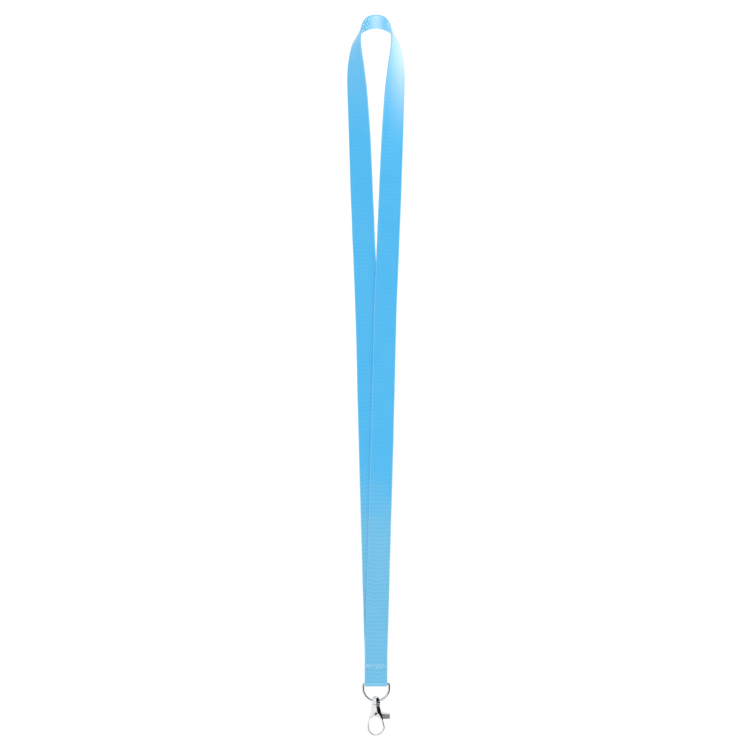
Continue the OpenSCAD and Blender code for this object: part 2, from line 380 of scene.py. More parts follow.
@dataclass(frozen=True)
class ThreadFinish:
    """Twisted polyester sewing thread, a little paler and shinier than the webbing."""

    colour: Colour = srgb(176, 232, 253)
    shade: Colour = srgb(136, 210, 245)

    def dress(self) -> bpy.types.Material:
        """Return the thread's material.

        Returns:
            The material of the twisted thread.
        """
        graph = Graph("thread")
        place = graph.place()
        tilted = graph.node("ShaderNodeMapping", {}, {"Vector": place, "Rotation": (0.0, 0.7, 0.0)}, "Vector")
        ply = graph.node("ShaderNodeTexWave", {"wave_type": "BANDS", "bands_direction": "X"},
                         {"Vector": tilted, "Scale": 900.0, "Distortion": 0.6, "Detail": 1.0}, "Fac")
        tone = graph.blend(ply.above(0.1, 0.7), self.shade, self.colour)
        return graph.finish(
            {"Sheen Weight": 0.3, "Specular IOR Level": 0.5},
            {"Base Color": tone, "Roughness": 0.42 + ply * 0.12, "Normal": graph.bump(ply, 0.00004, 0.7)},
        )


@dataclass(frozen=True)
class PlateFinish:
    """Bright nickel plate over a casting, with faint ripples and handling marks."""

    name: str = "nickel_plate"
    colour: Colour = (0.80, 0.80, 0.81)
    wear_and_sheen: Colour = (0.66, 0.65, 0.64)
    roughness: float = 0.07
    ripple: float = 0.000010

    def dress(self) -> bpy.types.Material:
        """Return the plated metal's material.

        Returns:
            The material of the plated metal.
        """
        graph = Graph(self.name)
        place = graph.place()
        broad = graph.noise(place, 420.0, 2.0)
        fine = graph.noise(place, 2600.0, 3.0, 0.6)
        marks = fine.above(0.62, 0.80)
        tone = graph.blend(marks * 0.35 + broad.above(0.5, 0.8) * 0.12, self.colour, self.wear_and_sheen)
        rough = self.roughness + broad.above(0.35, 0.75) * 0.05 + marks * 0.12
        height = broad * 0.8 + fine * 0.2
        return graph.finish(
            {"Metallic": 1.0},
            {"Base Color": tone, "Roughness": rough, "Normal": graph.bump(height, self.ripple, 0.6)},
        )


@dataclass(frozen=True)
class GrainFinish:
    """Plated metal with the sandy grain of the mould, as on the sunk face of the thumb lever."""

    colour: Colour = (0.50, 0.50, 0.51)
    pit: Colour = (0.27, 0.27, 0.28)

    def dress(self) -> bpy.types.Material:
        """Return the grainy metal's material.

        Returns:
            The material of the sandy metal.
        """
        graph = Graph("grained_plate")
        place = graph.place()
        coarse = graph.noise(place, 2600.0, 3.0, 0.6)
        fine = graph.noise(place, 9000.0, 3.0, 0.7)
        relief = coarse * 0.6 + fine * 0.4
        tone = graph.blend(relief.above(0.36, 0.64), self.pit, self.colour)
        return graph.finish(
            {"Metallic": 1.0},
            {"Base Color": tone, "Roughness": 0.38 + fine * 0.2, "Normal": graph.bump(relief, 0.00010, 0.8)},
        )


@dataclass(frozen=True)
class WireFinish:
    """Drawn spring wire, grey, with fine lines."""

    colour: Colour = (0.46, 0.46, 0.48)
    line: Colour = (0.30, 0.30, 0.31)

    def dress(self) -> bpy.types.Material:
        """Return the spring wire's material.

        Returns:
            The material of the drawn wire.
        """
        graph = Graph("spring_wire")
        lines = graph.noise(graph.place(), 4200.0, 3.0, 0.7)
        tone = graph.blend(lines.above(0.35, 0.7), self.line, self.colour)
        return graph.finish(
            {"Metallic": 1.0},
            {"Base Color": tone, "Roughness": 0.28 + lines * 0.15, "Normal": graph.bump(lines, 0.00001, 0.5)},
        )


class Finish(Enum):
    """The finishes of the object's pieces."""

    WEBBING = WebbingFinish()
    THREAD = ThreadFinish()
    PLATE = PlateFinish()
    WIRE_PLATE = PlateFinish(name="ring_plate", colour=(0.70, 0.70, 0.71), roughness=0.09)
    # dark metal for the inside of the rivet's hollow
    DARK_HOLLOW_PLATE = PlateFinish(
        name="dark_hollow_plate", colour=(0.13, 0.12, 0.12), wear_and_sheen=(0.22, 0.21, 0.20), roughness=0.32
    )
    GRAIN = GrainFinish()
    SPRING = WireFinish()


class Palette:
    """Makes each finish's material once and hands it out."""

    def __init__(self) -> None:
        """Start with no materials."""
        self._made: dict[Finish, bpy.types.Material] = {}

    def get(self, finish: Finish) -> bpy.types.Material:
        """Return the material of a finish.

        Args:
            finish: One of the finishes.

        Returns:
            Its material, made at the first call.
        """
        if finish not in self._made:
            self._made[finish] = finish.value.dress()
        return self._made[finish]


# ---------------------------------------------------------------- mesh work, in millimetres


class Solid:
    """A closed shape in millimetres that bmesh operators and cuts build up."""

    def __init__(self, form: bmesh.types.BMesh) -> None:
        """Take over a bmesh."""
        self.form = form

    @classmethod
    def spun(cls, profile: Sequence[Point], steps: int = 96, closed: bool = False) -> "Solid":
        """Spin a profile of (radius, height) points all the way round Z.

        Args:
            profile: The points, from one end to the other.
            steps: The number of stretches round the turn.
            closed: Whether the last point joins the first, as in a ring.

        Returns:
            The turned solid.
        """
        form = bmesh.new()
        points = [form.verts.new((radius, 0.0, height)) for radius, height in profile]
        pairs = list(zip(points, points[1:])) + ([(points[-1], points[0])] if closed else [])
        edges = [form.edges.new(pair) for pair in pairs]
        bmesh.ops.spin(form, geom=points + edges, cent=(0, 0, 0), axis=(0, 0, 1), angle=math.tau,
                       steps=steps, use_merge=True, use_duplicate=False)
        return cls(form).healed()

    @classmethod
    def slab(cls, outline: Sequence[Point], low: float, high: float) -> "Solid":
        """Extrude an outline of (x, z) points front to back, from y = low to y = high.

        Args:
            outline: The corner points, in order.
            low: The front, as y.
            high: The back, as y.

        Returns:
            The slab.
        """
        form = bmesh.new()
        face = form.faces.new([form.verts.new((x, low, z)) for x, z in outline])
        grown = bmesh.ops.extrude_face_region(form, geom=[face])
        moved = [item for item in grown["geom"] if isinstance(item, bmesh.types.BMVert)]
        bmesh.ops.translate(form, verts=moved, vec=(0, high - low, 0))
        return cls(form).healed()

    @classmethod
    def sheet(
        cls, columns: int, rows: int, wrap: bool, put: Callable[[float, float], Vector]
    ) -> "Solid":
        """Bend a grid into place.

        Args:
            columns: Stretches across the grid.
            rows: Stretches along it.
            wrap: Whether the grid's two sides meet, to make a tube.
            put: Gives the place of a grid point from its share across and its share along.

        Returns:
            The bent grid, welded along the meeting sides.
        """
        form = bmesh.new()
        bmesh.ops.create_grid(form, x_segments=columns, y_segments=rows, size=1.0)
        band = form.loops.layers.uv.new("Band")
        shares = {vert: ((vert.co.x + 1) / 2, (vert.co.y + 1) / 2) for vert in form.verts}
        for face in form.faces:
            for loop in face.loops:
                loop[band].uv = shares[loop.vert]
        for vert, (across, along) in shares.items():
            vert.co = put(across, along)
        if wrap:
            sides = [vert for vert in form.verts if vert.is_boundary]
            bmesh.ops.remove_doubles(form, verts=sides, dist=1e-5)
        return cls(form)

    def healed(self, gap: float = 1e-4) -> "Solid":
        """Weld doubles, close what is open and point the faces outwards.

        Args:
            gap: The distance under which two points are one.

        Returns:
            The same solid.
        """
        bmesh.ops.remove_doubles(self.form, verts=self.form.verts, dist=gap)
        open_edges = [edge for edge in self.form.edges if edge.is_boundary]
        if open_edges:
            bmesh.ops.holes_fill(self.form, edges=open_edges, sides=0)
        bmesh.ops.recalc_face_normals(self.form, faces=self.form.faces)
        return self

    def turned(self, degrees: float, axis: str) -> "Solid":
        """Turn the solid about an axis through its origin.

        Args:
            degrees: The angle.
            axis: X, Y or Z.

        Returns:
            The same solid.
        """
        turn = Matrix.Rotation(math.radians(degrees), 3, axis)
        bmesh.ops.rotate(self.form, verts=self.form.verts, cent=(0, 0, 0), matrix=turn)
        return self

    def softened(self, width: float, sharper_than: float = 30.0, segments: int = 2) -> "Solid":
        """Round every edge that bends by more than an angle in degrees.

        Args:
            width: The width of the rounding.
            sharper_than: The angle above which an edge is rounded.
            segments: The faces across the rounding.

        Returns:
            The same solid.
        """
        limit = math.radians(sharper_than)
        sharp = [edge for edge in self.form.edges if edge.is_manifold and edge.calc_face_angle() > limit]
        bmesh.ops.bevel(self.form, geom=sharp, offset=width, offset_type="OFFSET", segments=segments,
                        profile=0.5, affect="EDGES", clamp_overlap=True, material=-1)
        return self

    def mesh(self) -> bpy.types.Mesh:
        """Hand the shape over as a mesh and free the bmesh.

        Returns:
            The mesh, in millimetres.
        """
        mesh = bpy.data.meshes.new("shape")
        self.form.to_mesh(mesh)
        self.form.free()
        return mesh

    def combined(self, other: "Solid", operation: str) -> "Solid":
        """Cut, join or cross this solid with another, which is used up.

        Args:
            other: The second solid.
            operation: DIFFERENCE, UNION or INTERSECT.

        Returns:
            The resulting solid.
        """
        holders = []
        for solid in (self, other):
            holder = bpy.data.objects.new("working", solid.mesh())
            bpy.context.scene.collection.objects.link(holder)
            holders.append(holder)
        change = holders[0].modifiers.new("change", "BOOLEAN")
        change.operation = operation
        change.solver = "EXACT"
        change.object = holders[1]
        graph = bpy.context.evaluated_depsgraph_get()
        result = bpy.data.meshes.new_from_object(holders[0].evaluated_get(graph))
        form = bmesh.new()
        form.from_mesh(result)
        bpy.data.meshes.remove(result)
        for holder in holders:
            bpy.data.meshes.remove(holder.data)
        bmesh.ops.remove_doubles(form, verts=form.verts, dist=1e-4)
        bmesh.ops.dissolve_degenerate(form, edges=form.edges, dist=1e-4)
        return Solid(form)

    def cut(self, other: "Solid") -> "Solid":
        """Return this solid without the other."""
        return self.combined(other, "DIFFERENCE")

    def joined(self, other: "Solid") -> "Solid":
        """Return this solid together with the other."""
        return self.combined(other, "UNION")

    def crossed(self, other: "Solid") -> "Solid":
        """Return what this solid and the other share."""
        return self.combined(other, "INTERSECT")


@dataclass
class Piece:
    """What a finished shape becomes: an object that rides on a body and stands for CAD nodes."""

    name: str
    body: str
    slot: str
    finishes: tuple[Finish, ...]
    stands_for: tuple[str, ...]
    crease: float = 32.0

    def build(self, solid: Solid, palette: Palette, origin: Sequence[float] = (0, 0, 0)) -> bpy.types.Object:
        """Make the object.

        Args:
            solid: The shape, in millimetres about its own origin.
            palette: Where its materials come from.
            origin: The place of the shape's origin, in metres.

        Returns:
            The object, with its place in its mesh.
        """
        mesh = solid.mesh()
        mesh.name = self.name
        mesh.transform(Matrix.Translation(Vector(origin)) @ Matrix.Scale(MM, 4))
        mesh.shade_smooth()
        mesh.set_sharp_from_angle(angle=math.radians(self.crease))
        made = bpy.data.objects.new(self.name, mesh)
        bpy.context.scene.collection.objects.link(made)
        for finish in self.finishes:
            mesh.materials.append(palette.get(finish))
        if self.slot == "plated":
            weigh = made.modifiers.new("flat_faces", "WEIGHTED_NORMAL")
            weigh.keep_sharp = True
        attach(made, self.body)
        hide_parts(*self.stands_for)
        log.info("%s: %d faces on %s", self.name, len(mesh.polygons), self.body)
        return made


# ---------------------------------------------------------------- the lanyard's places


class Places:
    """Where the joints are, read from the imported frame, in metres."""

    def __init__(self, joints: Iterable[dict[str, object]]) -> None:
        """Read the joints.

        Args:
            joints: The frame's joints, each with its name and place.
        """
        found = {joint["name"]: Vector(joint["pos_m"]) for joint in joints}
        self.bar = found["ring_swing"]
        self.eye = found["eye_swing"]
        self.rivet = found["gate_pivot"]


# ---------------------------------------------------------------- webbing


@dataclass
class Webbing:
    """One length of ribbed webbing, from its tucked end over the neck to the end behind the ring.

    Sizes are in millimetres.
    """

    width: float = 15.0
    thick: float = 1.0
    gap: float = 0.1
    bar_radius: float = 0.8
    rib_pitch: float = 0.876
    rib_height: float = 0.11
    rows_per_rib: int = 3
    knee: float = 6.0
    fold_top: float = 19.2
    tuck: float = 7.0
    lay_from: float = -76.0
    lay_to: float = -150.0
    seam_rise: float = 12.1
    seam_reach: float = 2.6
    seam_pinch: float = 0.09
    steps_per_pair: int = 12
    knee_steps: int = 6
    bend_steps: int = 16
    sway_points: int = 64
    edge_drift: float = 0.06
    rib_bow: float = 0.30
    rib_ripple: float = 0.07
    length: float = 0.0
    # near edge x, z, then far edge x, z, of the right half, as in the CAD source
    crown: tuple[tuple[float, ...], ...] = (
        (0, 3.9, 0, -2.8), (5, 2.9, 5, -3.7), (8.2, -0.6, 8.8, -5.4), (9.6, -5.3, 12.3, -8.2),
        (10.2, -11.3, 15.2, -13), (9.7, -17.8, 17, -18.9), (8.3, -26.8, 18.5, -27.4),
        (7.1, -35.3, 19, -35.6), (5.9, -44.8, 18.9, -44.9), (4.7, -60, 18.5, -60),
    )
    run: tuple[tuple[float, ...], ...] = (
        (3.6, -76, 18, -76), (2.1, -108, 17, -108), (0.7, -141, 15.7, -141), (-0.3, -165, 14.7, -165),
        (-1.5, -197, 13.5, -197), (-3.3, -271, 11.7, -271), (-5.1, -335, 9.9, -335), (-6.6, -389, 8.4, -389),
    )

    def _edges(self, bar: float) -> list[Vector]:
        """Return smooth edge pairs of the right half, from the crown to the top of the fold.

        Args:
            bar: The height of the ring's bar.

        Returns:
            Near x, near z, far x and far z of each pair.
        """
        half = self.width / 2
        last = (-half, bar + self.fold_top, half, bar + self.fold_top)
        pairs = [Vector(pair) for pair in (*self.crown, *self.run, last)]
        mirrored = Vector((-pairs[1][0], pairs[1][1], -pairs[1][2], pairs[1][3]))
        ends = [mirrored, *pairs, 2 * pairs[-1] - pairs[-2]]
        smooth = []
        for p0, p1, p2, p3 in zip(ends, ends[1:], ends[2:], ends[3:]):
            for step in range(self.steps_per_pair):
                t = step / self.steps_per_pair
                smooth.append(0.5 * (2 * p1 + (p2 - p0) * t + (2 * p0 - 5 * p1 + 4 * p2 - p3) * t * t
                                     + (3 * p1 - p0 - 3 * p2 + p3) * t * t * t))
        return smooth + [pairs[-1]]

    def _pair(self, edge: Vector, side: int, layer: float) -> tuple[Vector, Vector]:
        """Return the near and far points of one edge pair on one side, at its layer's depth.

        Args:
            edge: Near x, near z, far x and far z.
            side: 1 for the right half, -1 for the left.
            layer: The depth of the run's layer where the runs lie on each other.

        Returns:
            The two points, as far apart as the band is wide.
        """
        spare = self.width ** 2 - (edge[2] - edge[0]) ** 2 - (edge[3] - edge[1]) ** 2
        span = math.sqrt(max(0.0, spare))
        depth = layer * ease((edge[1] - self.lay_from) / (self.lay_to - self.lay_from))
        near = Vector((side * edge[0], depth - span / 2, edge[1]))
        far = Vector((side * edge[2], depth + span / 2, edge[3]))
        return near, far

    def route(self, bar: float) -> list[tuple[Vector, Vector]]:
        """List the band's near and far edge points from its tucked end to its free end.

        Args:
            bar: The height of the ring's bar.

        Returns:
            Pairs of points, in millimetres.
        """
        half = self.width / 2
        layer = self.thick + self.gap
        edges = self._edges(bar)
        tuck = [(Vector((half, 0, z)), Vector((-half, 0, z))) for z in (bar + self.tuck, bar + self.tuck + 5)]
        left = [self._pair(edge, -1, 0.0) for edge in reversed(edges)]
        right = [self._pair(edge, 1, -layer) for edge in edges[1:]]
        radius = self.bar_radius + self.gap + self.thick / 2
        side = [(-layer, self.fold_top - 5), (-layer, self.knee + 3), (-layer, self.knee)]
        parts = self.knee_steps
        side += [(mix(-layer, -radius, ease(part / parts)), self.knee * (1 - part / parts))
                 for part in range(1, parts)]
        bend = arc((0, 0), radius, 180, 360, self.bend_steps)
        back = [(-y, z) for y, z in reversed(side)] + [(layer, self.fold_top)]
        fold = [(Vector((-half, y, bar + z)), Vector((half, y, bar + z)))
                for y, z in side + bend + back]
        return tuck + left + right + fold

    def profile(self) -> list[tuple[float, float, float]]:
        """List the band's section as (place across, height, share of the rib), once round.

        Returns:
            The section's points, from one edge round to it again.
        """
        half, rise = self.width / 2, self.thick / 2
        front = [(-half + 0.10, 0.62, 0.3), (-half + 0.45, 0.96, 0.7), (-half + 0.80, 0.78, 0.6),
                 (-5.2, 1.0, 1.0), (-3.2, 1.0, 1.0), (-1.1, 1.0, 1.0)]
        front += [(-u, h, r) for u, h, r in reversed(front)]
        outer = [(u, h * rise, r) for u, h, r in front]
        inner = [(u, -h * rise, r) for u, h, r in reversed(front)]
        return [(-half, 0.0, 0.0), *outer, (half, 0.0, 0.0), *inner]

    def build(self, palette: Palette, places: Places) -> bpy.types.Object:
        """Make the whole strap as one piece.

        Args:
            palette: Where the materials come from.
            places: Where the joints are.

        Returns:
            The strap's object.
        """
        bar = places.bar.z / MM
        seam = bar + self.seam_rise
        half = self.width / 2
        route = self.route(bar)
        middles = [(near + far) / 2 for near, far in route]
        reach = [0.0]
        for a, b in zip(middles, middles[1:]):
            reach.append(reach[-1] + (b - a).length)
        length = reach[-1]
        ribs = round(length / self.rib_pitch)
        rows = ribs * self.rows_per_rib
        section = self.profile()
        around = len(section)
        dice = random.Random(7)
        sway = [dice.uniform(-1, 1) for _ in range(self.sway_points)]

        def frame_at(distance: float) -> tuple[Vector, Vector, Vector]:
            """Return the band's middle, its direction across and its outward normal at a distance.

            Args:
                distance: How far along the band.

            Returns:
                The middle, the direction and the normal.
            """
            held = min(max(distance, 0.0), length)
            index = min(max(bisect_right(reach, held), 1), len(reach) - 1)
            share = (held - reach[index - 1]) / max(1e-9, reach[index] - reach[index - 1])
            near = route[index - 1][0].lerp(route[index][0], share)
            far = route[index - 1][1].lerp(route[index][1], share)
            before, after = max(0, index - 2), min(len(middles) - 1, index + 1)
            low = middles[before].lerp(middles[index], share)
            high = middles[index - 1].lerp(middles[after], share)
            across = (far - near).normalized()
            return (near + far) / 2, across, (high - low).cross(across).normalized()

        def put(across: float, along: float) -> Vector:
            """Return where a grid point goes on the hanging band.

            Args:
                across: The share of the way round the section.
                along: The share of the band's length.

            Returns:
                The point.
            """
            u, height, rib_share = section[round(across * around) % around]
            row = round(along * rows)
            inside = 0 < row < rows
            distance = along * length
            ripple = math.sin(u * 0.7 + 0.06 * row / self.rows_per_rib)
            bow = self.rib_bow * (u / half) ** 2 + self.rib_ripple * ripple
            middle, side, normal = frame_at(distance + (bow if inside else 0.0))
            hump = math.sin(math.pi * (row % self.rows_per_rib) / self.rows_per_rib)
            ridge = self.rib_height * rib_share * (hump - 0.6)
            lift = height + math.copysign(ridge, height) if height else 0.0
            phase = distance / length * (len(sway) - 1)
            index = min(int(phase), len(sway) - 2)
            drift = mix(sway[index], sway[index + 1], ease(phase - index)) * self.edge_drift
            point = middle + side * (u + (drift if inside else 0.0)) + normal * lift
            pinch = 1 - ease(abs(point.z - seam) / self.seam_reach)
            point.y *= 1 - self.seam_pinch * pinch
            return point

        solid = Solid.sheet(around, rows, True, put)
        band = solid.form.loops.layers.uv["Band"]
        places_across = [u for u, _, _ in section] + [section[0][0]]
        for face in solid.form.faces:
            for loop in face.loops:
                share, along = loop[band].uv
                loop[band].uv = (places_across[round(share * around)] * MM, along * rows
                                 / self.rows_per_rib * self.rib_pitch * MM)
        open_edges = [edge for edge in solid.form.edges if edge.is_boundary]
        bmesh.ops.holes_fill(solid.form, edges=open_edges, sides=0)
        bmesh.ops.recalc_face_normals(solid.form, faces=solid.form.faces)
        nodes = ("strap_crown", "strap_left_run", "strap_right_run", "strap_ring_fold")
        piece = Piece("strap", "strap", "webbing", (Finish.WEBBING,), nodes, crease=80.0)
        made = piece.build(solid, palette)
        self.length = length
        log.info("webbing is %.1f mm long", length)
        return made


@dataclass
class Seam:
    """The back-tacked seam: a needle thread on the front and a bobbin thread behind.

    Sizes are in millimetres. The machine ran to and fro over the band in uneven zigzags, knotted
    the thread in a loop at one side and stepped down at the other.
    """

    radius: float = 0.2
    face: float = 1.47
    rise: float = 12.1
    arch: float = 0.16
    sink: float = 0.22
    reach: float = 6.8
    half_height: float = 1.05
    stray: float = 0.28
    least: float = 0.35
    bulge: float = 0.12
    # how many stitches each zigzag pass has, and the seed of its unevenness
    front_passes: tuple[tuple[int, int], ...] = ((23, 5), (15, 6))
    back_passes: tuple[tuple[int, int], ...] = ((21, 7), (13, 8))
    knot: Point = (-5.5, 0.1)
    knot_radius: float = 0.78
    knot_turn: Point = (20, 470)
    knot_steps: int = 11
    steps_down: tuple[Point, ...] = (
        (6.5, -0.9), (4.4, -1.0), (3.9, -1.5), (3.1, -1.1), (2.5, -1.7), (1.3, -1.4), (0.5, -1.2),
        (0.3, -1.9), (-0.1, -2.2), (0.1, -2.8),
    )

    def _zigzag(self, turns: int, seed: int) -> list[Point]:
        """Return the needle holes of one uneven zigzag pass across the band.

        Args:
            turns: The number of stitches.
            seed: The seed of their unevenness.

        Returns:
            The holes, as (x, height) from the seam's middle.
        """
        dice = random.Random(seed)
        stops = []
        for turn in range(turns + 1):
            x = mix(-self.reach, self.reach, turn / turns) + dice.uniform(-self.stray, self.stray)
            height = self.half_height * dice.uniform(self.least, 1.0)
            stops.append((x, height if turn % 2 else -height))
        return stops

    def _route(self, stops: Sequence[Point], height: float, seed: int) -> list[Vector]:
        """Return a thread's route over one face, arched over each stitch and sunk at each hole.

        Args:
            stops: The needle holes.
            height: The height of the seam's middle.
            seed: The seed of the stitches' sideways bulges.

        Returns:
            The points, with y as the rise from the cloth.
        """
        dice = random.Random(seed)
        points: list[Vector] = []
        for (x0, z0), (x1, z1) in zip(stops, stops[1:]):
            side = dice.uniform(-self.bulge, self.bulge)
            for share in (0.0, 0.15, 0.4, 0.6, 0.85):
                lift = -self.sink if share == 0.0 else self.arch * math.sin(math.pi * share)
                bulge = side * math.sin(math.pi * share)
                x, z = mix(x0, x1, share) + bulge, height + mix(z0, z1, share) + bulge
                points.append(Vector((x, lift, z)))
        x, z = stops[-1]
        return points + [Vector((x, -self.sink, height + z))]

    def _line(self, points: Sequence[Vector], side: int) -> bpy.types.Mesh:
        """Return one stretch of thread as a round tube on one face of the strap.

        Args:
            points: The route.
            side: -1 for the front face, 1 for the back.

        Returns:
            The tube's mesh.
        """
        line = bpy.data.curves.new("stretch", "CURVE")
        line.dimensions = "3D"
        line.bevel_depth = self.radius
        line.bevel_resolution = 2
        line.resolution_u = 3
        line.use_fill_caps = True
        spline = line.splines.new("NURBS")
        spline.points.add(len(points) - 1)
        spline.order_u = 3
        spline.use_endpoint_u = True
        for spot, point in zip(spline.points, points):
            spot.co = (point.x, side * (self.face + self.radius * 0.5 + point.y), point.z, 1.0)
        holder = bpy.data.objects.new("stretch", line)
        bpy.context.scene.collection.objects.link(holder)
        mesh = bpy.data.meshes.new_from_object(holder.evaluated_get(bpy.context.evaluated_depsgraph_get()))
        bpy.data.objects.remove(holder)
        return mesh

    def _thread(
        self, passes: Sequence[Sequence[Point]], side: int, height: float, piece: Piece, palette: Palette
    ) -> bpy.types.Object:
        """Make one thread from its passes over one face.

        Args:
            passes: The needle holes of each pass.
            side: -1 for the front face, 1 for the back.
            height: The height of the seam's middle.
            piece: What the thread becomes.
            palette: Where the materials come from.

        Returns:
            The thread's object.
        """
        form = bmesh.new()
        for seed, stops in enumerate(passes):
            form.from_mesh(self._line(self._route(stops, height, seed), side))
        return piece.build(Solid(form).healed(), palette)

    def build(self, palette: Palette, places: Places) -> list[bpy.types.Object]:
        """Make both threads and return them.

        Args:
            palette: Where the materials come from.
            places: Where the joints are.

        Returns:
            The needle thread and the bobbin thread.
        """
        height = places.bar.z / MM + self.rise
        dress = (Finish.THREAD,)
        needle = Piece("needle_stitches", "strap", "thread", dress, ("needle_thread",), crease=80.0)
        bobbin = Piece("bobbin_stitches", "strap", "thread", dress, ("bobbin_thread",), crease=80.0)
        loop = arc(self.knot, self.knot_radius, *self.knot_turn, self.knot_steps)
        front = [self._zigzag(*row) for row in self.front_passes] + [loop, self.steps_down]
        behind = [self._zigzag(*row) for row in self.back_passes]
        return [self._thread(front, -1, height, needle, palette),
                self._thread(behind, 1, height, bobbin, palette)]


# ---------------------------------------------------------------- hardware


@dataclass
class DRing:
    """A D-ring bent from round wire, its ends butted in the straight bar. Sizes in millimetres."""

    wire: float = 0.8
    radius: float = 8.6
    drop: float = 2.95
    corner: float = 1.3
    butt: float = 0.06
    wire_sides: int = 24
    corner_steps: int = 8
    bow_steps: int = 40

    def build(self, palette: Palette, places: Places) -> None:
        """Make the ring by carrying a circle of wire round half of it and mirroring that.

        Args:
            palette: Where the materials come from.
            places: Where the joints are.
        """
        form = bmesh.new()
        circle = bmesh.ops.create_circle(form, segments=self.wire_sides, radius=self.wire)
        end = circle["verts"]
        bmesh.ops.rotate(form, verts=end, cent=(0, 0, 0), matrix=Matrix.Rotation(math.pi / 2, 3, "Y"))
        bmesh.ops.translate(form, verts=end, vec=(self.butt, 0, 0))
        edges = list(form.edges)
        edges = self._pushed(form, edges, (self.radius - self.corner - self.butt, 0, 0))
        elbow = (self.radius - self.corner, 0, -self.corner)
        edges = self._bent(form, edges, elbow, 90, self.corner_steps)
        edges = self._pushed(form, edges, (0, 0, self.corner - self.drop))
        self._bent(form, edges, (0, 0, -self.drop), 90, self.bow_steps)
        bmesh.ops.remove_doubles(form, verts=form.verts, dist=1e-4)
        ring_form = form.verts[:] + form.edges[:] + form.faces[:]
        bmesh.ops.mirror(form, geom=ring_form, matrix=Matrix.Identity(4), merge_dist=1e-3, axis="X")
        solid = Solid(form).healed().softened(0.12, 60.0)
        piece = Piece("d_ring_wire", "ring", "plated", (Finish.WIRE_PLATE,), ("d_ring",))
        piece.build(solid, palette, places.bar)

    @staticmethod
    def _pushed(form: bmesh.types.BMesh, edges: Loop, offset: Sequence[float]) -> Loop:
        """Draw a loop of edges straight out by an offset and return the new loop.

        Args:
            form: The shape that the loop belongs to.
            edges: The loop.
            offset: How far and which way.

        Returns:
            The new loop.
        """
        grown = bmesh.ops.extrude_edge_only(form, edges=edges)["geom"]
        verts = [item for item in grown if isinstance(item, bmesh.types.BMVert)]
        bmesh.ops.translate(form, verts=verts, vec=Vector(offset))
        return [item for item in grown if isinstance(item, bmesh.types.BMEdge)
                and all(vert in verts for vert in item.verts)]

    @staticmethod
    def _bent(
        form: bmesh.types.BMesh, edges: Loop, centre: Sequence[float], degrees: float, steps: int
    ) -> Loop:
        """Carry a loop of edges round a centre in the XZ plane and return the new loop.

        Args:
            form: The shape that the loop belongs to.
            edges: The loop.
            centre: The middle of the bend.
            degrees: The angle of the bend.
            steps: The stretches of the bend.

        Returns:
            The new loop.
        """
        spun = bmesh.ops.spin(form, geom=edges, cent=centre, axis=(0, 1, 0), angle=math.radians(degrees),
                              steps=steps, use_merge=False, use_duplicate=False)
        return [item for item in spun["geom_last"] if isinstance(item, bmesh.types.BMEdge)]


@dataclass
class SwivelEye:
    """The eye on the ring: a dome on a column, pierced for the wire, above the hook's stem.

    Sizes are in millimetres, heights from the wire's centre.
    """

    dome: float = 2.53
    dome_top: float = 3.45
    rim: float = 0.65
    column: float = 3.05
    foot: float = -1.8
    stem: float = 1.0
    stem_end: float = -5.0
    head: float = 1.5
    head_top: float = -4.2
    waist: float = 0.92
    ring: float = 8.6
    dip: float = 0.6

    def _profile(self) -> list[Point]:
        """Return half the eye's section, from its crown down to the end of the stem.

        Returns:
            Points of (radius, height).
        """
        rise = self.dome_top - self.rim
        sphere = (self.dome ** 2 + rise ** 2) / (2 * rise)
        centre = self.dome_top - sphere
        top = math.degrees(math.asin((self.rim - centre) / sphere)) if sphere > rise else 0.0
        dome = arc((0, centre), sphere, 90, max(top, 12.0), 14)
        lip = [(self.dome, self.rim + 0.05), (self.dome + 0.02, 0.48), (self.dome - 0.1, 0.40)]
        column = [(self.column - 0.28, 0.36), (self.column - 0.06, 0.24), (self.column, 0.05),
                  (self.column, -1.25), (self.column - 0.05, -1.45), (self.column - 0.3, -1.6)]
        foot = [(self.column - 0.32, self.foot + 0.06), (self.column - 0.45, self.foot),
                (self.stem, self.foot)]
        stem = [(self.stem, self.head_top), (self.head, self.head_top - 0.05),
                (self.head, self.head_top - 0.45), (self.head - 0.35, self.stem_end),
                (0, self.stem_end)]
        return dome + lip + column + foot + stem

    def build(self, palette: Palette, places: Places) -> None:
        """Turn the eye and pierce it with a trumpet-shaped hole for the wire.

        Args:
            palette: Where the materials come from.
            places: Where the joints are.
        """
        reach = self.column + 0.5
        sweep = math.degrees(math.asin(reach / self.ring))
        wall = arc((self.waist + self.ring, 0), self.ring, 180 + sweep, 180 - sweep, 20)
        trumpet = [(0.0, -reach), *wall, (0.0, reach)]
        hole = Solid.spun(trumpet, 48).turned(90, "Y")
        blank = Solid.spun(self._profile(), 96)
        for vert in blank.form.verts:
            reach_out = math.hypot(vert.co.x, vert.co.y)
            if reach_out > 2.0 and vert.co.z > -1.0:
                hold = 1 - ease((vert.co.z - 0.75) / 1.2)
                vert.co.z -= self.dip * hold * (vert.co.y / reach_out) ** 2
        eye = blank.cut(hole).softened(0.07, 40.0)
        piece = Piece("eye_casting", "eye", "plated", (Finish.PLATE,), ("swivel_eye",))
        piece.build(eye, palette, places.eye)


